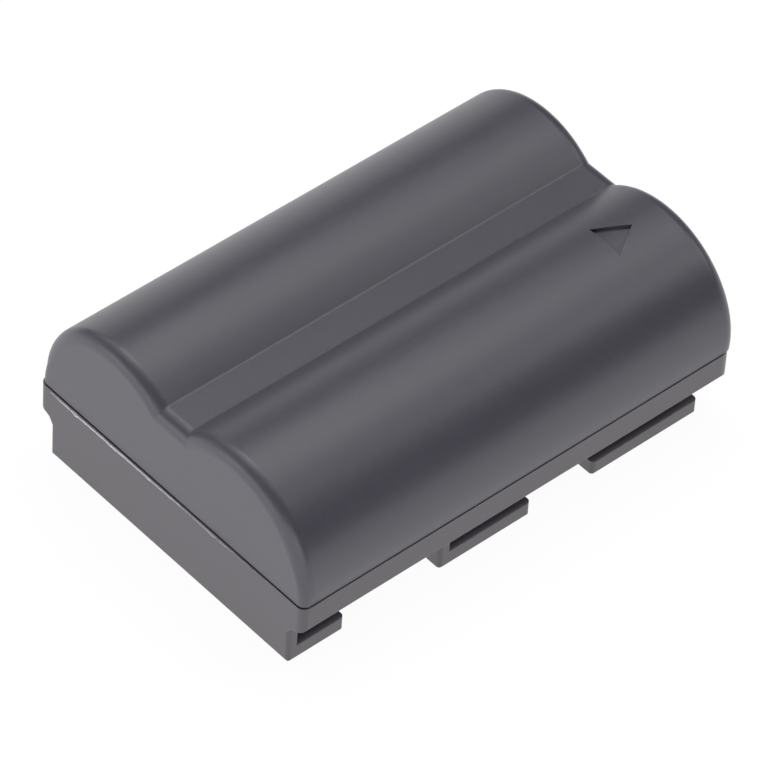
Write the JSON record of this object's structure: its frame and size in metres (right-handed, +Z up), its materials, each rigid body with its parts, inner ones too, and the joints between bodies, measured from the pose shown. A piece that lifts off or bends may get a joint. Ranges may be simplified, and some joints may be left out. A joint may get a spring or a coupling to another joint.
{
  "type": "scanner battery",
  "caption": "Two-lobed rechargeable pack with slide rails low on both long sides, a recessed arrow on the fuller lobe and contact windows in one end.",
  "frame": {"origin": "middle of the flat underside", "axes": "+Z up towards the lobes, +Y towards the contact end, +X towards the lobe with the arrow"},
  "size_m": [0.0384, 0.055, 0.02],
  "materials": {
    "upper_plastic": "fine matte texture",
    "lower_plastic": "fine matte texture, a little rougher than the upper shell",
    "cell_steel": "nickel plated",
    "sleeve_film": "shrunk film",
    "insulating_paper": "plain",
    "nickel": "rolled strip",
    "foam": "closed-cell foam",
    "tape": "double-sided tape",
    "board_laminate": "solder-masked laminate",
    "chip_resin": "moulded resin",
    "capacitor_ceramic": "plain",
    "resistor_ceramic": "plain",
    "contact_gold": "gold plated"
  },
  "bodies": {
    "root": {"upper_case": "upper_plastic", "lower_case": "lower_plastic", "cell_left": "cell_steel", "cell_right": "cell_steel", "sleeve_left": "sleeve_film", "sleeve_right": "sleeve_film", "washer_left": "insulating_paper", "washer_right": "insulating_paper", "series_strip": "nickel", "near_insulator": "insulating_paper", "near_cushion": "foam", "positive_strip": "nickel", "negative_strip": "nickel", "sense_lead": "nickel", "tape_left": "tape", "tape_right": "tape", "far_insulator": "insulating_paper", "protection_board": "board_laminate", "protection_chip": "chip_resin", "mosfet_pair": "chip_resin", "capacitors": "capacitor_ceramic", "resistors": "resistor_ceramic", "thermistor": "chip_resin", "thermal_fuse": "chip_resin", "contact_positive": "contact_gold", "contact_temperature": "contact_gold", "contact_data": "contact_gold", "contact_negative": "contact_gold"}
  },
  "joints": []
}
